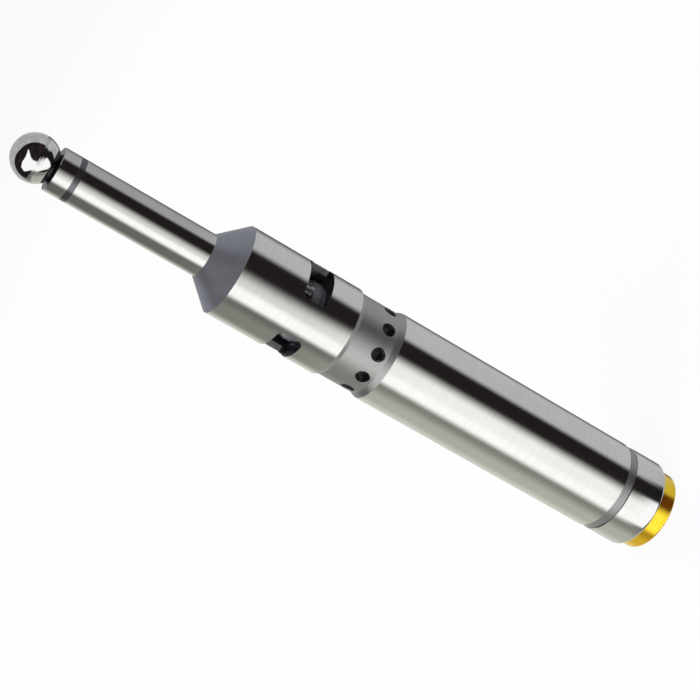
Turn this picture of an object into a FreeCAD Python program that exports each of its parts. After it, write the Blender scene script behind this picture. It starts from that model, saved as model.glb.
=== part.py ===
import FreeCAD
import Part
import math
import os

# Electronic edge finder: a straight shank, a windowed head and a stem that carries a
# spring-held ball. When the ball touches work the lamps light and the buzzer sounds.
# Millimetres. The tool stands on its brass tail face, with Z up the axis to the ball.

# Lengths of the outside, from the tail up
plug_length = 3.6
cap_length = 8.2
seal_width = 2.0
shank_length = 59.8
shoulder_length = 1.3
collar_length = 8.6
head_chamfer_length = 1.0
head_length = 26.1
cone_length = 5.9
stem_length = 29.6
ring_width = 1.3
seat_length = 3.6

# Diameters of the outside, and how far each piece lies under the shank's round
shank_diameter = 20.0
cap_undercut = 0.05
seal_undercut = 0.25
collar_undercut = 0.55
head_undercut = 0.05
plug_step = 1.05
stem_diameter = 9.5
ball_diameter = 10.0
seat_circle_diameter = 6.0

# Edges
edge_bevel = 0.1
seat_bevel = 0.12
cap_rounding = 1.0
plug_rounding = 0.5
plug_shadow_bevel = 0.15
hole_bevel = 0.15

# Fits: radial or axial gap between two pieces
seat_gap = 0.03
press_gap = 0.02
thread_gap = 0.06
running_gap = 0.08
board_gap = 0.1

# Battery cap, its brass plug and the thread that holds it
tail_wall = 2.42
thread_engagement = 7.0
thread_relief = 0.6
cap_spigot_wall = 1.3
plug_spigot_diameter = 10.4
plug_spigot_length = 4.0

# Battery, its sleeve and its two contacts
battery_diameter = 10.3
battery_length = 28.5
terminal_diameter = 5.5
terminal_height = 0.9
battery_bevel = 0.4
battery_set_back = 0.4
sleeve_wall = 0.7
rear_spring_diameter = 8.6
rear_spring_wire = 0.7
rear_spring_turns = 4

# Contact stud through the solid middle of the shank
stud_head_diameter = 6.0
stud_head_thickness = 1.2
stud_diameter = 2.5
bush_barrel_diameter = 7.0
bush_flange_thickness = 1.4
bush_proud = 0.3
nut_across_flats = 5.0
nut_thickness = 1.6
nut_pocket_diameter = 9.0

# Front chamber with the driver board and the buzzer
spigot_wall = 0.94
board_thickness = 1.2
buzzer_room = 1.5
buzzer_height = 8.5
buzzer_bevel = 0.5
buzzer_port_diameter = 2.6
buzzer_port_depth = 1.5
wire_diameter = 0.8
wire_set_in = 0.75
wire_proud = 0.3
wire_steps = (0, 3, 7)

# Sound holes in the collar
sound_hole_count = 10
sound_hole_diameter = 3.0
sound_hole_height = 2.2
first_hole_angle = -88.5

# Head: its hollow, its joint with the shank and its windows
head_wall = 1.45
head_front_wall = 1.6
spigot_length = 6.5
window_count = 3
window_width = 5.7
window_height = 9.95
window_sweep = 54.6
window_corner = 1.4
first_window_angle = -38.0

# Lamps and their holder
holder_room = 1.85
holder_thickness = 1.9
holder_foot_diameter = 12.4
holder_foot_height = 1.1
lamp_diameter = 3.0
lamp_rim_diameter = 3.4
lamp_rim_thickness = 0.8
lamp_length = 5.3
lamp_circle_diameter = 9.9
lamp_leg_diameter = 0.5
lamp_leg_spacing = 2.54
lamp_leg_proud = 0.7
leg_gap = 0.05

# Stem: its bore, insulation and contact rod
stem_bore_diameter = 7.2
ring_sleeve_length = 8.0
ring_bore_diameter = 5.8
liner_wall = 1.1
seat_depth = 2.0
seat_tail_length = 4.0
seat_tail_wall = 0.5
rod_diameter = 2.0
rod_collar_diameter = 4.4
rod_collar_thickness = 1.4
rod_proud = 0.4
rod_bush_flange_diameter = 12.0
rod_bush_flange_thickness = 2.0
rod_bush_length = 9.0
rod_eye_height = 4.0

# Ball hook and ball spring
hook_shank_diameter = 2.0
hook_shank_length = 4.0
hook_neck_diameter = 1.0
hook_neck_length = 1.0
eye_diameter = 2.0
eye_wire = 0.6
spring_diameter = 2.6
spring_wire = 0.44
spring_turns = 9
link_gap = 0.03

# How finely the springs are drawn
runs_per_turn = 12
wire_flats = 6

# Stations along the axis
cap_low = plug_length
seal_low = cap_low + cap_length
shank_low = seal_low + seal_width
shoulder_low = shank_low + shank_length
collar_low = shoulder_low + shoulder_length
joint_face = collar_low + collar_length
head_low = joint_face + head_chamfer_length
cone_low = head_low + head_length
stem_low = cone_low + cone_length
ring_low = stem_low + stem_length
seat_low = ring_low + ring_width
seat_face = seat_low + seat_length
ball_rise = math.sqrt((ball_diameter / 2) ** 2 - (seat_circle_diameter / 2) ** 2)
ball_centre = seat_face + ball_rise + seat_gap
ball_bottom = ball_centre - ball_diameter / 2

cap_spigot_top = shank_low + thread_engagement
bay_low = cap_spigot_top + thread_relief
battery_low = bay_low + battery_set_back
battery_top = battery_low + battery_length
flange_low = battery_top + stud_head_thickness
web_low = flange_low + bush_flange_thickness
sound_hole_z = collar_low + sound_hole_height
buzzer_top = sound_hole_z - sound_hole_diameter / 2
driver_board_top = buzzer_top - buzzer_height
chamber_floor = driver_board_top - board_thickness
pocket_floor = chamber_floor - board_gap - nut_thickness - bush_proud

spigot_top = joint_face + spigot_length
light_board_top = spigot_top + board_thickness
holder_low = light_board_top + holder_foot_height
holder_top = holder_low + holder_thickness
window_z = head_low + window_height
head_front = cone_low - head_front_wall
rod_flange_low = head_front - rod_bush_flange_thickness
liner_low = head_front + rod_bush_length
sleeve_end = ring_low - ring_sleeve_length
rod_eye_z = liner_low + rod_eye_height

# Diameters that follow from a neighbour and a fit
cap_diameter = shank_diameter - 2 * cap_undercut
seal_diameter = shank_diameter - 2 * seal_undercut
collar_diameter = shank_diameter - 2 * collar_undercut
head_diameter = shank_diameter - 2 * head_undercut
plug_diameter = cap_diameter - 2 * plug_step
head_hollow_diameter = head_diameter - 2 * head_wall
bay_diameter = battery_diameter + 2 * (sleeve_wall + running_gap + press_gap)
shank_thread_diameter = shank_diameter - 2 * tail_wall
cap_spigot_diameter = shank_thread_diameter - 2 * running_gap
cap_hollow_diameter = cap_spigot_diameter - 2 * cap_spigot_wall
head_spigot_diameter = head_hollow_diameter - 2 * thread_gap
chamber_diameter = head_spigot_diameter - 2 * spigot_wall
seat_tail_diameter = ring_bore_diameter - 2 * press_gap
buzzer_diameter = chamber_diameter - 2 * buzzer_room
link_circle_diameter = chamber_diameter - 2 * wire_set_in
holder_diameter = head_hollow_diameter - 2 * holder_room


def up(z):
    return FreeCAD.Vector(0, 0, z)


def polar(radius, angle, z):
    turn = math.radians(angle)
    return FreeCAD.Vector(radius * math.cos(turn), radius * math.sin(turn), z)


def rod(diameter, low, high):
    return Part.makeCylinder(diameter / 2, high - low, up(low))


def turned(points, sweep=360):
    """Turns a closed outline of (diameter, height) points about the axis."""
    corners = [FreeCAD.Vector(diameter / 2, 0, z) for diameter, z in points]
    face = Part.Face(Part.makePolygon(corners + corners[:1]))
    return face.revolve(up(0), up(1), sweep)


def rims(shape, diameter, z):
    """The circular edges of a shape that have this diameter and height."""
    found = []
    for edge in shape.Edges:
        circle = edge.Curve
        if not isinstance(circle, Part.Circle):
            continue
        if abs(circle.Radius - diameter / 2) < 1e-6 and abs(circle.Center.z - z) < 1e-6:
            found.append(edge)
    return found


def rounded(shape, diameter, z, size):
    return shape.makeFillet(size, rims(shape, diameter, z))


def bevelled(shape, diameter, z, size):
    return shape.makeChamfer(size, rims(shape, diameter, z))


def stood_at(shape, radius, angle, z):
    """A copy of a shape built about the axis, moved out to a radius and turned with it."""
    copy = shape.copy()
    copy.translate(FreeCAD.Vector(radius, 0, z))
    copy.rotate(up(0), up(1), angle)
    return copy


def bent_wire(points, wire):
    """A wire bent through a row of points, drawn with flats that lie inside its round."""
    sections = []
    side = FreeCAD.Vector(1, 0, 0)
    for index, point in enumerate(points):
        before = points[max(index - 1, 0)]
        after = points[min(index + 1, len(points) - 1)]
        heading = (after - before).normalize()
        side = (side - heading * side.dot(heading)).normalize()
        across = heading.cross(side)
        corners = []
        for number in range(wire_flats + 1):
            turn = 2 * math.pi * number / wire_flats
            corners.append(point + (side * math.cos(turn) + across * math.sin(turn)) * (wire / 2))
        sections.append(Part.makePolygon(corners))
    return Part.makeLoft(sections, True, True)


def coil_points(diameter, start, end, turns):
    """Points down or up a helix that starts and ends on the +Y side."""
    steps = turns * runs_per_turn
    points = []
    for step in range(steps + 1):
        share = step / steps
        points.append(polar(diameter / 2, 90 + 360 * turns * share, start + (end - start) * share))
    return points


def loop_points(diameter, z, first_angle, sideways, runs):
    """Points round part of an upright loop that lies along the sideways direction."""
    points = []
    for step in range(runs + 1):
        turn = math.radians(first_angle + 360 / runs_per_turn * step)
        points.append(up(z + diameter / 2 * math.sin(turn)) + sideways * (diameter / 2 * math.cos(turn)))
    return points


def eye(z, first_angle):
    """An eye bent from wire, all but closed, that starts at the angle where its neck joins it."""
    path = loop_points(eye_diameter, z, first_angle, FreeCAD.Vector(1, 0, 0), runs_per_turn - 1)
    return bent_wire(path, eye_wire)


def probe_ball():
    ball = Part.makeSphere(ball_diameter / 2, up(ball_centre))
    hole_top = ball_bottom + hook_shank_length
    hole = rod(hook_shank_diameter + 2 * press_gap, ball_bottom - edge_bevel, hole_top)
    return ball.cut(hole)


def hook_eye_z():
    return ball_bottom - hook_neck_length - eye_diameter / 2


def ball_hook():
    shank = rod(hook_shank_diameter, ball_bottom, ball_bottom + hook_shank_length - press_gap)
    neck = rod(hook_neck_diameter, ball_bottom - hook_neck_length - eye_wire / 2, ball_bottom)
    return shank.fuse([neck, eye(hook_eye_z(), 90)])


def ball_spring():
    """Tension spring whose end loops hook into the ball's eye and the rod's eye."""
    reach = (eye_diameter - eye_wire + spring_diameter - spring_wire) / 2 - link_gap
    top_loop = hook_eye_z() - reach
    low_loop = rod_eye_z + reach
    high = top_loop - spring_diameter / 2
    low = low_loop + spring_diameter / 2
    runs = runs_per_turn - 2
    sideways = FreeCAD.Vector(0, 1, 0)
    path = loop_points(spring_diameter, top_loop, -90 - 360 / runs_per_turn * runs, sideways, runs)
    path += coil_points(spring_diameter, high, low, spring_turns)
    path += loop_points(spring_diameter, low_loop, 90, sideways, runs)
    return bent_wire(path, spring_wire)


def seat_ring():
    """Front ring whose inner edge the ball sits on, with a tail pressed into the insulation."""
    tail_bore = seat_tail_diameter - 2 * seat_tail_wall
    seat_floor = seat_face - seat_depth
    outline = [
        (seat_circle_diameter, seat_face),
        (stem_diameter, seat_face),
        (stem_diameter, seat_low),
        (seat_tail_diameter, seat_low),
        (seat_tail_diameter, seat_low - seat_tail_length),
        (tail_bore, seat_low - seat_tail_length),
        (tail_bore, seat_floor),
        (seat_circle_diameter, seat_floor),
    ]
    return bevelled(turned(outline), stem_diameter, seat_face, seat_bevel)


def insulating_ring():
    sleeve_diameter = stem_bore_diameter - 2 * press_gap
    outline = [
        (ring_bore_diameter, seat_low),
        (stem_diameter, seat_low),
        (stem_diameter, ring_low),
        (sleeve_diameter, ring_low),
        (sleeve_diameter, sleeve_end),
        (ring_bore_diameter, sleeve_end),
    ]
    return turned(outline)


def stem_liner():
    outer = stem_bore_diameter - 2 * press_gap
    return rod(outer, liner_low, sleeve_end).cut(rod(outer - 2 * liner_wall, liner_low, sleeve_end))


def rod_bush():
    barrel = rod(stem_bore_diameter - 2 * press_gap, head_front, liner_low)
    flange = rod(rod_bush_flange_diameter, rod_flange_low, head_front)
    return barrel.fuse(flange).cut(rod(rod_diameter + 2 * press_gap, rod_flange_low, liner_low))


def contact_rod():
    """Rod that the spring pulls on: its collar bears on the bush, its foot is in the board."""
    stem = rod(rod_diameter, spigot_top - rod_proud, rod_eye_z - eye_diameter / 2)
    collar = rod(rod_collar_diameter, rod_flange_low - rod_collar_thickness, rod_flange_low)
    return stem.fuse([collar, eye(rod_eye_z, -90)])


def window(angle):
    """Room swept by a round cutter that is turned about the axis and moved along it at the ends."""
    reach = 2 * head_diameter
    low = window_z - window_width / 2
    high = window_z + window_width / 2
    swept = turned([(0, low), (reach, low), (reach, high), (0, high)], window_sweep)
    swept.rotate(up(0), up(1), angle - window_sweep / 2)
    ends = []
    for end in (angle - window_sweep / 2, angle + window_sweep / 2):
        direction = polar(1, end, 0)
        for z in (low + window_corner, high - window_corner):
            ends.append(Part.makeCylinder(window_corner, reach / 2, up(z), direction))
        travel = Part.makeBox(reach / 2, 2 * window_corner, window_width - 2 * window_corner)
        travel.translate(FreeCAD.Vector(0, -window_corner, low + window_corner))
        travel.rotate(up(0), up(1), end)
        ends.append(travel)
    return swept.fuse(ends)


def window_angles():
    return [first_window_angle + 360 / window_count * number for number in range(window_count)]


def head_body():
    """Stem, cone and windowed sleeve, turned as one piece and bored from both ends."""
    outline = [
        (head_hollow_diameter, joint_face),
        (collar_diameter, joint_face),
        (head_diameter, head_low),
        (head_diameter, cone_low),
        (stem_diameter, stem_low),
        (stem_diameter, ring_low),
        (stem_bore_diameter, ring_low),
        (stem_bore_diameter, head_front),
        (head_hollow_diameter, head_front),
    ]
    return turned(outline).cut([window(angle) for angle in window_angles()])


def lamp_angles():
    return window_angles()


def leg_places(gap, low, high):
    """Straight pins where the lamp legs pass, each wider than a leg by a gap."""
    pins = []
    for angle in lamp_angles():
        for side in (-1, 1):
            pin = rod(lamp_leg_diameter + 2 * gap, low, high)
            pin.translate(FreeCAD.Vector(0, side * lamp_leg_spacing / 2, 0))
            pins.append(stood_at(pin, lamp_circle_diameter / 2, angle, 0))
    return pins


def lamp(number):
    """Round-nosed lamp with a rim at its base and two legs that reach the board."""
    straight_top = holder_top + lamp_length - lamp_diameter / 2
    body = rod(lamp_diameter, holder_top, straight_top)
    nose = Part.makeSphere(lamp_diameter / 2, up(straight_top))
    rim = rod(lamp_rim_diameter, holder_top, holder_top + lamp_rim_thickness)
    bulb = stood_at(body.fuse([nose, rim]), lamp_circle_diameter / 2, lamp_angles()[number], 0)
    legs = leg_places(0, spigot_top - lamp_leg_proud, holder_top)
    return bulb.fuse(legs[2 * number:2 * number + 2])


def led_holder():
    foot = rod(holder_foot_diameter, light_board_top, holder_low)
    disc = rod(holder_diameter, holder_low, holder_top)
    rod_hole = rod(rod_diameter + 2 * press_gap, light_board_top, holder_top)
    return disc.fuse(foot).cut([rod_hole] + leg_places(leg_gap, light_board_top, holder_top))


def link_wire_angles():
    """Half way between sound holes, so that no wire stands in front of one."""
    pitch = 360 / sound_hole_count
    return [first_hole_angle + pitch * (step + 0.5) for step in wire_steps]


def link_wire(angle, gap, low, high):
    return stood_at(rod(wire_diameter + 2 * gap, low, high), link_circle_diameter / 2, angle, 0)


def wire_holes(low, high):
    return [link_wire(angle, press_gap, low, high) for angle in link_wire_angles()]


def light_board():
    board = rod(head_spigot_diameter, spigot_top, light_board_top)
    rod_hole = rod(rod_diameter + 2 * press_gap, spigot_top, light_board_top)
    holes = leg_places(leg_gap, spigot_top, light_board_top) + wire_holes(spigot_top, light_board_top)
    return board.cut([rod_hole] + holes)


def driver_board():
    board = rod(chamber_diameter - 2 * board_gap, chamber_floor, driver_board_top)
    stud_hole = rod(stud_diameter + 2 * press_gap, chamber_floor, driver_board_top)
    return board.cut([stud_hole] + wire_holes(chamber_floor, driver_board_top))


def buzzer():
    can = rod(buzzer_diameter, driver_board_top, buzzer_top)
    can = bevelled(can, buzzer_diameter, buzzer_top, buzzer_bevel)
    return can.cut(rod(buzzer_port_diameter, buzzer_top - buzzer_port_depth, buzzer_top))


def sound_holes():
    """Radial drills through the collar, each with a small bevel where it breaks out."""
    narrow = sound_hole_diameter / 2
    wide = narrow + 2 * hole_bevel
    bevel_root = collar_diameter / 2 - hole_bevel
    drills = []
    for number in range(sound_hole_count):
        angle = first_hole_angle + 360 / sound_hole_count * number
        direction = polar(1, angle, 0)
        root = polar(bevel_root, angle, sound_hole_z)
        drills.append(Part.makeCylinder(narrow, shank_diameter, up(sound_hole_z), direction))
        drills.append(Part.makeCone(narrow, wide, 2 * hole_bevel, root, direction))
    return drills


def shank_tube():
    """Ground shank and drilled collar in one, with a threaded spigot for the head."""
    outline = [
        (shank_thread_diameter, shank_low),
        (shank_diameter, shank_low),
        (shank_diameter, shoulder_low),
        (collar_diameter, collar_low),
        (collar_diameter, joint_face),
        (head_spigot_diameter, joint_face),
        (head_spigot_diameter, spigot_top),
        (chamber_diameter, spigot_top),
        (chamber_diameter, chamber_floor),
        (nut_pocket_diameter, chamber_floor),
        (nut_pocket_diameter, pocket_floor),
        (bush_barrel_diameter, pocket_floor),
        (bush_barrel_diameter, web_low),
        (bay_diameter, web_low),
        (bay_diameter, bay_low),
        (shank_thread_diameter, bay_low),
    ]
    tube = bevelled(turned(outline), shank_diameter, shank_low, edge_bevel)
    return tube.cut(sound_holes())


def contact_bush():
    """Flanged insulator that keeps the contact stud off the shank."""
    bush_top = pocket_floor + bush_proud
    flange = rod(bay_diameter - 2 * press_gap, flange_low, web_low)
    barrel = rod(bush_barrel_diameter - 2 * press_gap, web_low, bush_top)
    bore = rod(stud_diameter + 2 * press_gap, flange_low, bush_top)
    return flange.fuse(barrel).cut(bore)


def contact_stud():
    head = rod(stud_head_diameter, battery_top, flange_low)
    return head.fuse(rod(stud_diameter, flange_low, driver_board_top))


def stud_nut():
    low = pocket_floor + bush_proud
    corner = nut_across_flats / 2 / math.cos(math.radians(30))
    corners = [polar(corner, 60 * number, low) for number in range(7)]
    blank = Part.Face(Part.makePolygon(corners)).extrude(up(nut_thickness))
    return blank.cut(rod(stud_diameter + 2 * press_gap, low, low + nut_thickness))


def battery():
    can_top = battery_top - terminal_height
    can = bevelled(rod(battery_diameter, battery_low, can_top), battery_diameter, can_top, battery_bevel)
    return can.fuse(rod(terminal_diameter, can_top, battery_top))


def battery_sleeve():
    outer = bay_diameter - 2 * press_gap
    return rod(outer, bay_low, flange_low).cut(rod(outer - 2 * sleeve_wall, bay_low, flange_low))


def rear_spring():
    """Compression spring with a closed turn at each end, between the plug and the battery."""
    across = rear_spring_diameter - rear_spring_wire
    low = cap_low + plug_spigot_length + rear_spring_wire / 2
    high = battery_low - running_gap - rear_spring_wire / 2
    lift = rear_spring_wire + link_gap
    path = coil_points(across, low, low + lift, 1)
    path += coil_points(across, low + lift, high - lift, rear_spring_turns)[1:]
    path += coil_points(across, high - lift, high, 1)[1:]
    return bent_wire(path, rear_spring_wire)


def rear_cap():
    """Battery cap with a hollow threaded spigot that screws into the shank."""
    floor = cap_low + plug_spigot_length
    outline = [
        (plug_spigot_diameter + 2 * press_gap, cap_low),
        (cap_diameter, cap_low),
        (cap_diameter, seal_low),
        (cap_spigot_diameter, seal_low),
        (cap_spigot_diameter, cap_spigot_top),
        (cap_hollow_diameter, cap_spigot_top),
        (cap_hollow_diameter, floor),
        (plug_spigot_diameter + 2 * press_gap, floor),
    ]
    cap = rounded(turned(outline), cap_diameter, cap_low, cap_rounding)
    return bevelled(cap, cap_diameter, seal_low, edge_bevel)


def rear_plug():
    plug = rod(plug_diameter, 0, plug_length)
    plug = rounded(plug, plug_diameter, 0, plug_rounding)
    plug = bevelled(plug, plug_diameter, plug_length, plug_shadow_bevel)
    return plug.fuse(rod(plug_spigot_diameter, plug_length, plug_length + plug_spigot_length))


def cap_seal():
    bore = cap_spigot_diameter + 2 * running_gap
    return rod(seal_diameter, seal_low, shank_low).cut(rod(bore, seal_low, shank_low))


def all_pieces():
    pieces = {
        "probe_ball": probe_ball(),
        "ball_hook": ball_hook(),
        "ball_spring": ball_spring(),
        "seat_ring": seat_ring(),
        "insulating_ring": insulating_ring(),
        "stem_liner": stem_liner(),
        "rod_bush": rod_bush(),
        "contact_rod": contact_rod(),
        "head_body": head_body(),
        "led_holder": led_holder(),
        "light_board": light_board(),
        "driver_board": driver_board(),
        "buzzer": buzzer(),
        "shank_tube": shank_tube(),
        "contact_bush": contact_bush(),
        "contact_stud": contact_stud(),
        "stud_nut": stud_nut(),
        "battery": battery(),
        "battery_sleeve": battery_sleeve(),
        "rear_spring": rear_spring(),
        "rear_cap": rear_cap(),
        "rear_plug": rear_plug(),
        "cap_seal": cap_seal(),
    }
    for number in range(window_count):
        pieces[f"led_{number + 1}"] = lamp(number)
    for number, angle in enumerate(link_wire_angles()):
        wire = link_wire(angle, 0, chamber_floor, light_board_top + wire_proud)
        pieces[f"link_wire_{number + 1}"] = wire
    return pieces


os.makedirs("parts", exist_ok=True)
for name, shape in all_pieces().items():
    shape.exportStep(f"parts/{name}.step")
    print(name, "solids", len(shape.Solids), "valid", shape.isValid(), "volume", round(shape.Volume, 2))
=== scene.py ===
import bpy
import math
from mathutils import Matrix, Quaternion, Vector


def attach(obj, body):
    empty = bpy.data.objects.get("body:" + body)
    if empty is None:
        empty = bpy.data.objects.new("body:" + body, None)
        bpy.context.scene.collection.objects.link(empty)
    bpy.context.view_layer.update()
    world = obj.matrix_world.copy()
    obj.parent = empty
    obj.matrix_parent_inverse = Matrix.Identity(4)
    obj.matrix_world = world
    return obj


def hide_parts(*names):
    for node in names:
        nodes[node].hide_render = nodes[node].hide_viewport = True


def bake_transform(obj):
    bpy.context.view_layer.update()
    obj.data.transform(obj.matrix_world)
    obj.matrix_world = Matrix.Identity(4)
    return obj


# The looks of the electronic edge finder: materials, the cap's thread, the springs, the
# windowed head, a pale studio and the camera. Metres, in the frame of the construction:
# Z up the axis to the ball.

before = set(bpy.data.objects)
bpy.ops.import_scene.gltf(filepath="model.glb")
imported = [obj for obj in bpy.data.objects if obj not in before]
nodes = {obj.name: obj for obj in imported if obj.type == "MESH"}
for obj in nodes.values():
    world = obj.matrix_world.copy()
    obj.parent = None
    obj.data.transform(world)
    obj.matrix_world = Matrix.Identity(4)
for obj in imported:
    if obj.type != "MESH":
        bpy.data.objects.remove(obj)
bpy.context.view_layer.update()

MM = 0.001

# Camera
CAMERA_PLACE = Vector((0.006423, -0.357048, 0.204505))
CAMERA_TARGET = Vector((-0.001988, 0.0, 0.079622))
CAMERA_ROLL = math.radians(-60.206)
CAMERA_LENS = 94.07

# Stations along the axis, in millimetres
CAP_LOW = 3.6
CAP_BORE_FLOOR = 7.6
SEAL_LOW = 11.8
SPIGOT_TOP = 20.8
BATTERY_LOW = 21.8
SHOULDER_LOW = 73.6
HEAD_LOW = 84.5
HEAD_FRONT = 109.0
CONE_LOW = 110.6
STEM_LOW = 116.5
SEAT_FACE = 151.0
ROD_EYE = 122.0
HOOK_EYE = 148.03

# Radii of the head, in millimetres
SLEEVE_RADIUS = 9.95
HEAD_HOLLOW = 8.5
STEM_BORE = 3.6

# The head's windows: their middles and sweep in degrees, the rest in millimetres
WINDOW_ANGLES = (-38.0, 82.0, 202.0)
WINDOW_SWEEP = 54.6
WINDOW_LOW = 91.6
WINDOW_HIGH = 97.3
WINDOW_CORNER = 1.4


# Node trees

class Tree:
    """A node tree that is written as a row of calls, each of which gives back a socket."""

    def __init__(self, tree):
        self.nodes = tree.nodes
        self.links = tree.links
        self.nodes.clear()

    def add(self, kind, settings=None, **inputs):
        """Adds a node. An input is named by its socket, with _ for a space, or s0, s1 by place."""
        made = self.nodes.new(kind)
        for name, value in (settings or {}).items():
            setattr(made, name, value)
        for name, value in inputs.items():
            if name[0] == "s" and name[1:].isdigit():
                socket = made.inputs[int(name[1:])]
            else:
                socket = made.inputs[name.replace("_", " ")]
            if isinstance(value, bpy.types.NodeSocket):
                self.links.new(value, socket)
            else:
                socket.default_value = value
        return made

    def math(self, operation, first, second=0.0, third=0.0):
        made = self.add("ShaderNodeMath", {"operation": operation}, s0=first, s1=second, s2=third)
        return made.outputs[0]

    def step(self, value, low, high):
        """0 below low, 1 above high and smooth between."""
        made = self.add("ShaderNodeMapRange", {"interpolation_type": "SMOOTHSTEP"},
                        Value=value, From_Min=low, From_Max=high)
        return made.outputs["Result"]

    def range(self, value, low, high):
        made = self.add("ShaderNodeMapRange", Value=value, To_Min=low, To_Max=high)
        return made.outputs["Result"]

    def mix(self, share, first, second):
        made = self.add("ShaderNodeMix", {"data_type": "RGBA"}, Factor=share)
        for socket, value in ((made.inputs[6], first), (made.inputs[7], second)):
            if isinstance(value, bpy.types.NodeSocket):
                self.links.new(value, socket)
            else:
                socket.default_value = (*value, 1.0)
        return made.outputs[2]

    def ramp(self, share, stops):
        made = self.add("ShaderNodeValToRGB", Fac=share)
        ramp = made.color_ramp
        ramp.interpolation = "LINEAR"
        while len(ramp.elements) < len(stops):
            ramp.elements.new(1.0)
        for element, (place, colour) in zip(ramp.elements, sorted(stops)):
            element.position = place
            element.color = (*colour, 1.0)
        return made.outputs["Color"]

    def noise(self, place, scale, detail=3.0, roughness=0.55):
        made = self.add("ShaderNodeTexNoise", Vector=place, Scale=scale, Detail=detail,
                        Roughness=roughness)
        return made.outputs["Fac"]

    def stretched(self, place, sideways, along):
        """The place, scaled differently across and along the axis."""
        made = self.add("ShaderNodeVectorMath", {"operation": "MULTIPLY"},
                        s0=place, s1=(sideways, sideways, along))
        return made.outputs[0]


def grey(display):
    """The linear value of a grey that shows as this share of white."""
    return ((display + 0.055) / 1.055) ** 2.4


# Studio

STEEL_BASE = 0.67

# The parts of the studio, in the colours that ground steel shows of them
FAR = (75, 75, 76)
BACK = (190, 190, 180)
BENCH_LIGHT = (170, 170, 159)
BENCH = (125, 125, 117)
BENCH_DARK = (100, 100, 94)
PANE = (251, 251, 246)
PANE_SOFT = (239, 239, 233)
PANE_EDGE = (208, 208, 204)
SHADE = (30, 26, 25)
SIDE_WALL = (175, 175, 176)
SIDE_WALL_DIM = (150, 150, 152)

# The studio below the horizon, from FAR behind and on round from the left, as (angle where one
# part gives way, angle where it is gone, next part): as the shank, the head and the stem see it
BY_SHANK = [
    (-180, -160, BACK), (-145, -115, BENCH_LIGHT), (-97, -63, BENCH), (-62, -43, PANE),
    (-32, -16, PANE_SOFT), (0, 31, SHADE), (61, 77, SIDE_WALL), (133, 168, FAR),
]
BY_HEAD = [
    (-180, -160, BACK), (-155, -118, BENCH), (-88, -63, BENCH_DARK), (-61, -45, PANE),
    (-30, -12, PANE_EDGE), (-12, 26, SHADE), (64, 82, SIDE_WALL), (125, 165, FAR),
]
BY_STEM = [
    (-180, -160, BACK), (-158, -108, BENCH_DARK), (-69, -43, PANE), (-30, -12, PANE_EDGE),
    (-11, 23, SHADE), (60, 79, SIDE_WALL_DIM), (115, 170, FAR),
]

# The sides of the bright pane in the studio, as (sine of the height above the horizon, angle)
PANE_LEFT = [(-1.0, 0), (-0.9, -30), (-0.4, -56), (-0.05, -57), (0.2, -84), (0.5, -80),
             (0.68, -58), (0.8, 15), (0.82, 40)]
PANE_RIGHT = [(-1.0, 0), (-0.87, 27), (-0.6, 32), (-0.4, 16), (-0.1, -10), (0.22, -13),
              (0.48, -6), (0.66, 10), (0.8, 29), (0.82, 20)]

# Sines of the height where the light beneath begins, and where the shank's light gives way to
# the head's, that to the stem's, and that to what is above
BENEATH = (-0.5, -0.56)
FROM_SHANK = (-0.345, -0.315)
FROM_HEAD = (-0.25, -0.235)
FROM_STEM = (-0.155, -0.11)

# Angles between which the dark side of the studio begins, on the left and on the right
DARK_LEFT = (-125, -119)
DARK_RIGHT = (81, 74)

WHITE = (252, 252, 250)
PALE_WALL = (180, 181, 182)
WALL = (160, 162, 163)
DARK = (27, 24, 28)
BROWN = (46, 34, 34)


def share(degrees):
    """An angle round the axis as a share of the full turn."""
    return degrees / 360 + 0.5


def studio_light(shown):
    """The light that shows as this colour, out of 255, when steel reflects it."""
    return tuple(grey(value / 255) / STEEL_BASE for value in shown)


def around_parts(tree, around, parts):
    """The light of the studio's parts round the axis."""
    colour = studio_light(FAR)
    for begins, ends, shown in parts:
        change = tree.step(around, share(begins), share(ends))
        colour = tree.mix(change, colour, studio_light(shown))
    return colour


def pane_side(tree, height, stops):
    return tree.ramp(height, [(z / 2 + 0.5, (share(at),) * 3) for z, at in stops])


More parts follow.
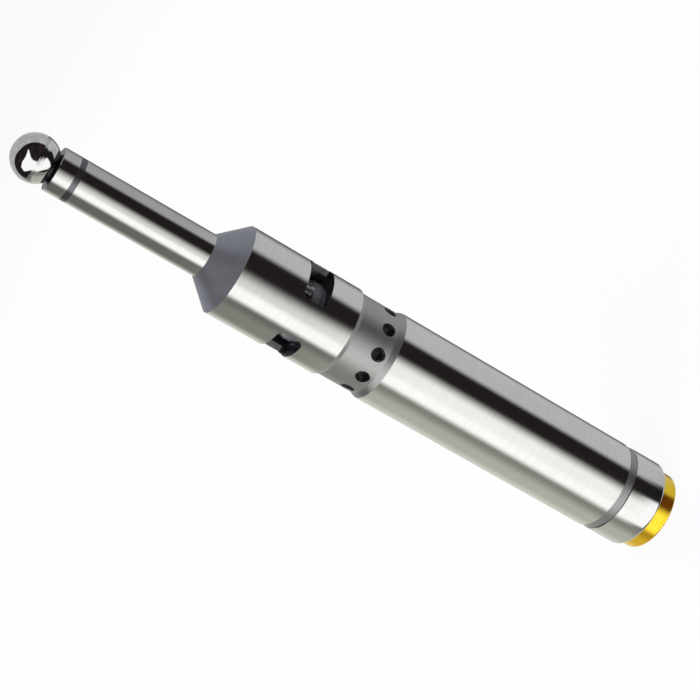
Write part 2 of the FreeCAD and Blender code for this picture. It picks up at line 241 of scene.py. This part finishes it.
def build_studio():
    """A pale studio: dark towards the viewer, with one large bright pane, and grey behind.

    Angles are degrees round the axis from the front, positive towards +X.
    """
    world = bpy.data.worlds.new("studio")
    bpy.context.scene.world = world
    world.use_nodes = True
    tree = Tree(world.node_tree)
    direction = tree.add("ShaderNodeTexCoord").outputs["Generated"]
    x, y, z = tree.add("ShaderNodeSeparateXYZ", Vector=direction).outputs
    angle = tree.math("ARCTAN2", x, tree.math("MULTIPLY", y, -1.0))
    around = tree.math("MULTIPLY_ADD", angle, 1 / (2 * math.pi), 0.5)
    height = tree.math("MULTIPLY_ADD", z, 0.5, 0.5)

    soft = 0.012
    past_left = tree.math("SUBTRACT", around, pane_side(tree, height, PANE_LEFT))
    past_right = tree.math("SUBTRACT", pane_side(tree, height, PANE_RIGHT), around)
    pane = tree.math("MULTIPLY", tree.step(past_left, -soft, soft),
                     tree.step(past_right, -soft, soft))
    dark_left = tree.step(around, *map(share, DARK_LEFT))
    dark_right = tree.step(around, *map(share, DARK_RIGHT))

    cloud = tree.step(tree.noise(direction, 3.2, 2.0), 0.46, 0.66)
    wall = tree.mix(cloud, studio_light(WALL), studio_light(PALE_WALL))
    dark = tree.mix(cloud, studio_light(DARK), studio_light(BROWN))
    high = tree.mix(tree.math("MULTIPLY", dark_left, dark_right), wall, dark)
    high = tree.mix(pane, high, studio_light(WHITE))
    by_shank = around_parts(tree, around, BY_SHANK)
    beneath = tree.mix(tree.step(around, share(-64), share(-50)), by_shank, studio_light(DARK))
    beneath = tree.mix(dark_right, wall, beneath)
    beneath = tree.mix(pane, beneath, studio_light(WHITE))
    colour = tree.mix(tree.step(z, *FROM_SHANK), by_shank, around_parts(tree, around, BY_HEAD))
    colour = tree.mix(tree.step(z, *FROM_HEAD), colour, around_parts(tree, around, BY_STEM))
    colour = tree.mix(tree.step(z, *FROM_STEM), colour, high)
    colour = tree.mix(tree.step(z, *BENEATH), colour, beneath)

    camera = tree.add("ShaderNodeLightPath").outputs["Is Camera Ray"]
    colour = tree.mix(camera, colour, (1.0, 1.0, 1.0))
    light = tree.add("ShaderNodeBackground", Color=colour, Strength=1.0)
    tree.add("ShaderNodeOutputWorld", Surface=light.outputs[0])


def build_floor():
    """A white floor that shows only a soft shadow."""
    bpy.ops.mesh.primitive_plane_add(size=6.0, location=(0, 0, -0.1 * MM))
    floor = bpy.context.object
    floor.name = "floor"
    material = bpy.data.materials.new("floor_paper")
    material.use_nodes = True
    tree = Tree(material.node_tree)
    seen_first = tree.add("ShaderNodeLightPath").outputs["Is Camera Ray"]
    paper = tree.add("ShaderNodeBsdfDiffuse", Color=(0.9, 0.9, 0.9, 1.0))
    white = tree.add("ShaderNodeEmission", Color=(1.0, 1.0, 1.0, 1.0), Strength=1.0)
    lit = tree.add("ShaderNodeMixShader", s0=0.9, s1=paper.outputs[0], s2=white.outputs[0])
    clear = tree.add("ShaderNodeBsdfTransparent")
    seen = tree.add("ShaderNodeMixShader", s0=seen_first, s1=clear.outputs[0], s2=lit.outputs[0])
    tree.add("ShaderNodeOutputMaterial", Surface=seen.outputs[0])
    floor.data.materials.append(material)


def add_lamp(name, place, target, size, power):
    """A soft square lamp that lights what is matt and leaves no mark on what is polished."""
    data = bpy.data.lights.new(name, "AREA")
    data.size = size
    data.energy = power
    lamp = bpy.data.objects.new(name, data)
    lamp.location = place
    lamp.rotation_mode = "QUATERNION"
    lamp.rotation_quaternion = (target - lamp.location).to_track_quat("-Z", "Y")
    lamp.visible_glossy = False
    lamp.visible_camera = False
    bpy.context.scene.collection.objects.link(lamp)


def build_lamps():
    middle = Vector((0.0, 0.0, 80 * MM))
    add_lamp("lamp_left", Vector((-0.55, -0.7, 0.6)), middle, 0.6, 8.0)
    add_lamp("lamp_right", Vector((0.8, -0.3, 0.7)), middle, 0.6, 2.5)
    add_lamp("lamp_back", Vector((0.1, 0.9, 0.8)), middle, 0.6, 3.5)


def build_camera():
    data = bpy.data.cameras.new("camera")
    data.lens = CAMERA_LENS
    data.sensor_width = 36.0
    data.clip_start = 0.01
    data.clip_end = 20.0
    camera = bpy.data.objects.new("camera", data)
    camera.location = CAMERA_PLACE
    camera.rotation_mode = "QUATERNION"
    level = (CAMERA_TARGET - CAMERA_PLACE).to_track_quat("-Z", "Y")
    camera.rotation_quaternion = level @ Quaternion((0, 0, 1), CAMERA_ROLL)
    bpy.context.scene.collection.objects.link(camera)
    bpy.context.scene.camera = camera


# Materials

def new_tree(name):
    material = bpy.data.materials.new(name)
    material.use_nodes = True
    return material, Tree(material.node_tree)


def finished(tree, colour, roughness, height, metallic, **sockets):
    """The shader and the output of a material. The height is in metres."""
    bump = tree.add("ShaderNodeBump", Height=height, Distance=1.0, Strength=1.0)
    shader = tree.add("ShaderNodeBsdfPrincipled", Base_Color=colour, Roughness=roughness,
                      Metallic=metallic, Normal=bump.outputs[0], **sockets)
    tree.add("ShaderNodeOutputMaterial", Surface=shader.outputs[0])


def object_place(tree):
    return tree.add("ShaderNodeTexCoord").outputs["Object"]


def ground_look(tree, place, bright, dull, smooth, rough, depth=0.0006 * MM):
    """Fine rings that a grinding wheel leaves round the metal, and faint smudges."""
    rings = tree.noise(tree.stretched(place, 120.0, 9000.0), 1.0, 4.0, 0.6)
    wide_rings = tree.noise(tree.stretched(place, 30.0, 1400.0), 1.0, 2.0)
    smudge = tree.noise(tree.stretched(place, 220.0, 90.0), 1.0, 4.0)
    tone = tree.math("MULTIPLY_ADD", wide_rings, 0.5, tree.math("MULTIPLY", smudge, 0.5))
    colour = tree.mix(tree.step(tone, 0.35, 0.65), dull, bright)
    wear = tree.math("MULTIPLY_ADD", rings, 0.5, tree.math("MULTIPLY", smudge, 0.5))
    return colour, tree.range(wear, smooth, rough), tree.math("MULTIPLY", rings, depth), 1.0


def blasted_look(tree, place, bright, dull, smooth, rough, grain, depth, metallic=1.0):
    """The even fine grain of blasted metal."""
    fine = tree.noise(place, grain, 4.0, 0.65)
    broad = tree.noise(place, grain / 14, 3.0)
    tone = tree.math("MULTIPLY_ADD", fine, 0.5, tree.math("MULTIPLY", broad, 0.5))
    colour = tree.mix(tree.step(tone, 0.3, 0.7), dull, bright)
    height = tree.math("MULTIPLY", fine, depth)
    return colour, tree.range(broad, smooth, rough), height, metallic


def between(tree, share_of_second, first, second):
    """Goes from one look to another."""
    colour = tree.mix(share_of_second, first[0], second[0])
    numbers = []
    for one, other in zip(first[1:], second[1:]):
        change = tree.math("SUBTRACT", other, one)
        numbers.append(tree.math("MULTIPLY_ADD", change, share_of_second, one))
    return (colour, *numbers)


def ground_metal(name, bright, dull, smooth, rough, depth=0.0006 * MM):
    material, tree = new_tree(name)
    finished(tree, *ground_look(tree, object_place(tree), bright, dull, smooth, rough, depth))
    return material


def turned_brass(name):
    """Yellow brass with a deep amber under its shine, as its dark reflections show."""
    material, tree = new_tree(name)
    colour, roughness, height, metallic = ground_look(
        tree, object_place(tree), (0.95, 0.74, 0.05), (0.9, 0.66, 0.04), 0.1, 0.17)
    bump = tree.add("ShaderNodeBump", Height=height, Distance=1.0, Strength=1.0).outputs[0]
    shine = tree.add("ShaderNodeBsdfPrincipled", Base_Color=colour, Roughness=roughness,
                     Metallic=metallic, Normal=bump)
    amber = tree.add("ShaderNodeBsdfDiffuse", Color=(0.85, 0.2, 0.012, 1.0), Normal=bump)
    both = tree.add("ShaderNodeMixShader", s0=0.14, s1=shine.outputs[0], s2=amber.outputs[0])
    tree.add("ShaderNodeOutputMaterial", Surface=both.outputs[0])
    return material


def blasted_metal(name, bright, dull, smooth, rough, grain, depth, metallic=1.0):
    material, tree = new_tree(name)
    place = object_place(tree)
    finished(tree, *blasted_look(tree, place, bright, dull, smooth, rough, grain, depth, metallic))
    return material


def steel_look(tree, place, kind):
    if kind == "ground":
        return ground_look(tree, place, (0.685, 0.685, 0.69), (0.65, 0.65, 0.655), 0.08, 0.13,
                           0.0005 * MM)
    if kind == "cone":
        return blasted_look(tree, place, (0.36, 0.365, 0.415), (0.31, 0.315, 0.36), 0.42, 0.48,
                            5000.0, 0.003 * MM, 0.9)
    if kind == "collar":
        return blasted_look(tree, place, (0.475, 0.475, 0.48), (0.425, 0.425, 0.43), 0.43, 0.48,
                            5000.0, 0.003 * MM)
    # The seat ring's front face: rough steel painted near-black as shade
    if kind == "face":
        return blasted_look(tree, place, (0.11, 0.11, 0.115), (0.085, 0.085, 0.09), 0.26, 0.32, 6000.0,
                            0.002 * MM)
    # The window walls: a milled grain, with a near-black colour that is painted shade
    if kind == "milled_with_painted_shade":
        return blasted_look(tree, place, (0.15, 0.15, 0.16), (0.08, 0.08, 0.085), 0.3, 0.42, 1500.0,
                            0.004 * MM)
    if kind == "bore":
        return blasted_look(tree, place, (0.32, 0.32, 0.33), (0.24, 0.24, 0.25), 0.4, 0.5, 1500.0,
                            0.006 * MM)
    # Anything else: near-black rough steel, painted shade for hollows
    return blasted_look(tree, place, (0.05, 0.05, 0.07), (0.025, 0.025, 0.04), 0.35, 0.5, 1500.0,
                        0.006 * MM)


def body_steel(name, bands=(), hollows=()):
    """Ground steel with bands of other looks between pairs of heights, dark in its hollows, where the
    near-black is painted shade.
    """
    material, tree = new_tree(name)
    place = object_place(tree)
    x, y, z = tree.add("ShaderNodeSeparateXYZ", Vector=place).outputs
    radius = tree.math("SQRT", tree.math("ADD", tree.math("MULTIPLY", x, x), tree.math("MULTIPLY", y, y)))
    edge = 0.04 * MM
    look = steel_look(tree, place, "ground")
    for kind, low, high in bands:
        above = tree.step(z, low * MM - edge, low * MM + edge)
        below = tree.step(z, high * MM + edge, high * MM - edge)
        look = between(tree, tree.math("MULTIPLY", above, below), look, steel_look(tree, place, kind))
    for kind, inner, high in hollows:
        within = tree.step(radius, inner * MM + edge, inner * MM - edge)
        below = tree.step(z, high * MM + edge, high * MM - edge)
        look = between(tree, tree.math("MULTIPLY", within, below), look, steel_look(tree, place, kind))
    finished(tree, *look)
    return material


def moulded(name, light, shade, roughness, grain=3500.0, depth=0.004 * MM, **sockets):
    """Plastic with the fine skin of a mould and a faint change of tone."""
    material, tree = new_tree(name)
    place = object_place(tree)
    fine = tree.noise(place, grain, 3.0)
    broad = tree.noise(place, grain / 10, 3.0)
    colour = tree.mix(tree.step(broad, 0.3, 0.7), shade, light)
    roughness = tree.range(fine, roughness - 0.06, roughness + 0.06)
    finished(tree, colour, roughness, tree.math("MULTIPLY", fine, depth), 0.0, **sockets)
    return material


def paint(material, *names):
    for name in names:
        for place in nodes[name].material_slots:
            place.material = material


def paint_all():
    top = SEAT_FACE + 10
    skin = 0.1
    paint(body_steel("shank_steel", [("collar", SHOULDER_LOW, HEAD_LOW)],
                     [("bore", 9.2, top)]), "shank_tube")
    paint(body_steel("head_steel", [("cone", CONE_LOW, STEM_LOW)],
                     # The walls of the windows are painted dark as shade, over a milled grain
                     [("milled_with_painted_shade", SLEEVE_RADIUS - 0.09, HEAD_FRONT),
                      ("collar", SLEEVE_RADIUS + 0.03, HEAD_LOW),
                      # The head's hollow and its stem bore are painted near-black as shade
                      ("painted_shade_inside", HEAD_HOLLOW + skin, HEAD_FRONT + skin),
                      ("painted_shade_inside", STEM_BORE + skin, top)]), "head_body")
    # The seat ring's front face and its bore are painted near-black as shade
    paint(body_steel("seat_steel", [("face", SEAT_FACE - 0.05, top)], [("painted_shade_inside", 3.1, top)]),
          "seat_ring")
    paint(ground_metal("ball_polish", (0.66, 0.66, 0.67), (0.63, 0.63, 0.64), 0.02, 0.05,
                       0.00005 * MM), "probe_ball")
    paint(turned_brass("brass_turned"), "rear_plug")
    paint(blasted_metal("insulator_grey", (0.16, 0.165, 0.18), (0.13, 0.135, 0.145), 0.15, 0.2,
                        4000.0, 0.001 * MM, 0.9), "insulating_ring")
    paint(blasted_metal("seal_grey", (0.34, 0.345, 0.355), (0.29, 0.295, 0.3), 0.3, 0.38, 4000.0,
                        0.002 * MM, 0.9), "cap_seal")
    paint(moulded("holder_grey", (0.16, 0.16, 0.18), (0.12, 0.12, 0.14), 0.35), "led_holder")
    paint(moulded("white_insulator", (0.8, 0.79, 0.75), (0.72, 0.71, 0.67), 0.5),
          "stem_liner", "rod_bush", "contact_bush")
    paint(moulded("board_dark", (0.012, 0.014, 0.022), (0.008, 0.01, 0.016), 0.4),
          "light_board", "driver_board")
    paint(moulded("buzzer_black", (0.06, 0.06, 0.058), (0.045, 0.045, 0.045), 0.35), "buzzer")
    paint(moulded("battery_sleeve", (0.05, 0.05, 0.055), (0.035, 0.035, 0.04), 0.4),
          "battery_sleeve")
    paint(moulded("lamp_lens", (0.22, 0.21, 0.205), (0.16, 0.15, 0.15), 0.14, 3500.0,
                  0.0003 * MM, Coat_Weight=1.0, Coat_Roughness=0.05, Coat_IOR=1.9),
          "led_1", "led_2", "led_3")
    wire = ground_metal("spring_wire", (0.62, 0.62, 0.62), (0.5, 0.5, 0.5), 0.2, 0.3)
    paint(wire, "ball_hook", "link_wire_1", "link_wire_2", "link_wire_3", "battery", "stud_nut")
    paint(ground_metal("contact_brass", (0.8, 0.56, 0.2), (0.7, 0.47, 0.16), 0.18, 0.28),
          "contact_rod", "contact_stud")
    return wire


# Pieces that take the place of plainer solids

def shade(mesh, sharpest):
    """Smooth shading, but for edges that turn by more than so many degrees."""
    mesh.shade_smooth()
    mesh.set_sharp_from_angle(angle=math.radians(sharpest))


def mesh_piece(name, vertices, faces, material):
    """A smooth mesh from points in millimetres, with its sharp edges kept sharp."""
    mesh = bpy.data.meshes.new(name)
    mesh.from_pydata([Vector(vertex) * MM for vertex in vertices], [], faces)
    shade(mesh, 32)
    mesh.materials.append(material)
    piece = bpy.data.objects.new(name, mesh)
    bpy.context.scene.collection.objects.link(piece)
    return piece


def tube(name, path, wire, material):
    """A round wire through a row of points, closed at both ends."""
    sides = 12
    side = Vector((1.0, 0.0, 0.0))
    vertices = []
    for index, point in enumerate(path):
        heading = (path[min(index + 1, len(path) - 1)] - path[max(index - 1, 0)]).normalized()
        side = (side - heading * side.dot(heading)).normalized()
        across = heading.cross(side)
        for number in range(sides):
            turn = 2 * math.pi * number / sides
            vertices.append(point + (side * math.cos(turn) + across * math.sin(turn)) * (wire / 2))
    faces = [tuple(reversed(range(sides))), tuple(range(len(vertices) - sides, len(vertices)))]
    for first in range(0, len(vertices) - sides, sides):
        for number in range(sides):
            following = (number + 1) % sides
            faces.append((first + number, first + following, first + sides + following,
                          first + sides + number))
    return mesh_piece(name, vertices, faces, material)


def turned_piece(name, outline, columns, material, cut=None):
    """A closed outline of (radius, height) points turned about the axis.

    cut gives how deep the surface is cut at a height and an angle.
    """
    vertices = []
    for radius, height in outline:
        for column in range(columns):
            angle = 2 * math.pi * column / columns
            here = radius - cut(height, angle) if cut else radius
            vertices.append((here * math.cos(angle), here * math.sin(angle), height))
    faces = []
    for index in range(len(outline)):
        first = index * columns
        above = (index + 1) % len(outline) * columns
        for column in range(columns):
            following = (column + 1) % columns
            faces.append((first + column, first + following, above + following, above + column))
    return mesh_piece(name, vertices, faces, material)


def coil(radius, start, end, turns):
    """Points along a helix that starts on the +Y side."""
    steps = round(turns * 28)
    points = []
    for step in range(steps + 1):
        turn = 2 * math.pi * turns * step / steps
        height = start + (end - start) * step / steps
        points.append(Vector((-radius * math.sin(turn), radius * math.cos(turn), height)))
    return points


def loop(radius, height, first, last):
    """Points round an upright loop across the Y axis, from one angle to another in degrees."""
    steps = round(abs(last - first) / 12)
    points = []
    for step in range(steps + 1):
        turn = math.radians(first + (last - first) * step / steps)
        points.append(Vector((0.0, radius * math.cos(turn), height + radius * math.sin(turn))))
    return points


def build_ball_spring(material):
    """Close-wound tension spring, hooked into the ball's eye and the rod's eye."""
    radius = 1.3
    wire = 0.44
    reach = 1.75
    turns = 34
    high = HOOK_EYE - reach - radius
    low = ROD_EYE + reach + radius
    path = loop(radius, HOOK_EYE - reach, 210, -90)
    path += coil(radius, high, low, turns)[8:-8]
    path += loop(radius, ROD_EYE + reach, 90, 390)
    piece = tube("ball_spring_wound", path, wire, material)
    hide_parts("ball_spring")
    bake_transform(piece)


def build_rear_spring(material):
    """Compression spring with a closed turn at each end, between the plug and the battery."""
    wire = 0.7
    radius = 3.95
    low = CAP_BORE_FLOOR + wire / 2 + 0.02
    high = BATTERY_LOW - 0.08 - wire / 2 - 0.02
    lift = wire + 0.03
    path = coil(radius, low, low + lift, 1)
    path += coil(radius, low + lift, high - lift, 4)[1:]
    path += coil(radius, high - lift, high, 1)[1:]
    piece = tube("rear_spring_wound", path, wire, material)
    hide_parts("rear_spring")
    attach(piece, "cap")


def thread_depth(height, angle):
    """How deep the cap's right-hand thread is cut at a height and an angle: 0 off the spigot."""
    pitch = 1.0
    full_depth = 0.42
    turn = (height / pitch - angle / (2 * math.pi)) % 1.0
    flank = min(max(abs(2 * turn - 1) * 1.5 - 0.25, 0.0), 1.0)
    ends = min((height - SEAL_LOW - 0.5) / 0.5, (SPIGOT_TOP - 0.25 - height) / 0.4)
    return full_depth * flank * min(max(ends, 0.0), 1.0)


def build_threaded_cap():
    """The battery cap with the thread cut into its spigot."""
    outer = 9.95
    spigot = 7.5
    bore = 6.2
    plug_bore = 5.22
    rounding = 1.0
    bevel = 0.1
    outline = [(plug_bore, CAP_LOW)]
    for number in range(11):
        turn = math.radians(-90 + 9 * number)
        outline.append((outer - rounding + rounding * math.cos(turn),
                        CAP_LOW + rounding + rounding * math.sin(turn)))
    outline += [(outer, SEAL_LOW - bevel), (outer - bevel, SEAL_LOW), (spigot, SEAL_LOW)]
    rows = 108
    for number in range(rows):
        outline.append((spigot, SEAL_LOW + (SPIGOT_TOP - 0.2 - SEAL_LOW) * (number + 1) / rows))
    outline += [(spigot - 0.2, SPIGOT_TOP), (bore, SPIGOT_TOP), (bore, CAP_BORE_FLOOR),
                (plug_bore, CAP_BORE_FLOOR)]
    material = body_steel("cap_steel", hollows=[("bore", 6.4, SPIGOT_TOP - 0.1)])
    piece = turned_piece("rear_cap_threaded", outline, 96, material, thread_depth)
    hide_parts("rear_cap")
    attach(piece, "cap")


def window_room(angle, material):
    """The room that a round cutter sweeps through the head's wall for one window.

    It is a row of upright slices, each a bearing from the window's middle in degrees, an offset
    past the window's end and a rise that shortens the slice at both its edges.
    """
    steps = 10
    inner = 6.0
    outer = 12.0
    half = WINDOW_SWEEP / 2
    rounding = [math.radians(90 * step / steps) for step in range(1, steps + 1)]
    slices = [(-half, -WINDOW_CORNER * math.sin(turn), WINDOW_CORNER * (1 - math.cos(turn)))
              for turn in reversed(rounding)]
    slices += [(-half + WINDOW_SWEEP * step / steps, 0.0, 0.0) for step in range(steps + 1)]
    slices += [(half, WINDOW_CORNER * math.sin(turn), WINDOW_CORNER * (1 - math.cos(turn)))
               for turn in rounding]
    vertices = []
    for bearing, offset, rise in slices:
        turn = math.radians(angle + bearing)
        outward = Vector((math.cos(turn), math.sin(turn), 0.0))
        across = Vector((-math.sin(turn), math.cos(turn), 0.0))
        for radius, height in ((inner, WINDOW_LOW + rise), (outer, WINDOW_LOW + rise),
                               (outer, WINDOW_HIGH - rise), (inner, WINDOW_HIGH - rise)):
            vertices.append(outward * radius + across * offset + Vector((0.0, 0.0, height)))
    last = len(vertices) - 4
    faces = [(0, 1, 2, 3), (last + 3, last + 2, last + 1, last)]
    for first in range(0, last, 4):
        for corner in range(4):
            following = (corner + 1) % 4
            faces.append((first + corner, first + 4 + corner, first + 4 + following,
                          first + following))
    return mesh_piece("window_room", vertices, faces, material)


def cut_out(piece, rooms):
    """Cuts rooms out of a piece for good, and takes them away."""
    for room in rooms:
        cut = piece.modifiers.new("room", "BOOLEAN")
        cut.operation = "DIFFERENCE"
        cut.solver = "EXACT"
        cut.object = room
    whole = piece.evaluated_get(bpy.context.evaluated_depsgraph_get())
    mesh = bpy.data.meshes.new_from_object(whole)
    piece.modifiers.clear()
    piece.data = mesh
    for room in rooms:
        bpy.data.objects.remove(room)


def round_normals(mesh, radius):
    """The normals of a true cylinder, where a mesh lies at this radius."""
    slack = 0.005 * MM
    normals = [Vector() for _ in mesh.loops]
    for face in mesh.polygons:
        places = [mesh.vertices[vertex].co.xy for vertex in face.vertices]
        if all(abs(place.length - radius * MM) < slack for place in places):
            for corner, place in zip(face.loop_indices, places):
                normals[corner] = place.normalized().to_3d()
    mesh.normals_split_custom_set(normals)


def build_windowed_head():
    """The head with the rounded ends of its windows, which the solid leaves uncut in places."""
    joint_face = HEAD_LOW - 1.0
    joint_radius = 9.45
    stem = 4.75
    stem_top = 146.1
    outline = [(HEAD_HOLLOW, joint_face), (joint_radius, joint_face), (SLEEVE_RADIUS, HEAD_LOW),
               (SLEEVE_RADIUS, CONE_LOW), (stem, STEM_LOW), (stem, stem_top), (STEM_BORE, stem_top),
               (STEM_BORE, HEAD_FRONT), (HEAD_HOLLOW, HEAD_FRONT)]
    material = nodes["head_body"].material_slots[0].material
    piece = turned_piece("head_windowed", outline, 192, material)
    cut_out(piece, [window_room(angle, material) for angle in WINDOW_ANGLES])
    shade(piece.data, 20)
    round_normals(piece.data, SLEEVE_RADIUS)
    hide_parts("head_body")
    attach(piece, "housing")


bpy.context.scene.view_settings.view_transform = "Standard"
build_camera()
build_studio()
build_floor()
build_lamps()
wire_metal = paint_all()
build_ball_spring(wire_metal)
build_rear_spring(wire_metal)
build_threaded_cap()
build_windowed_head()
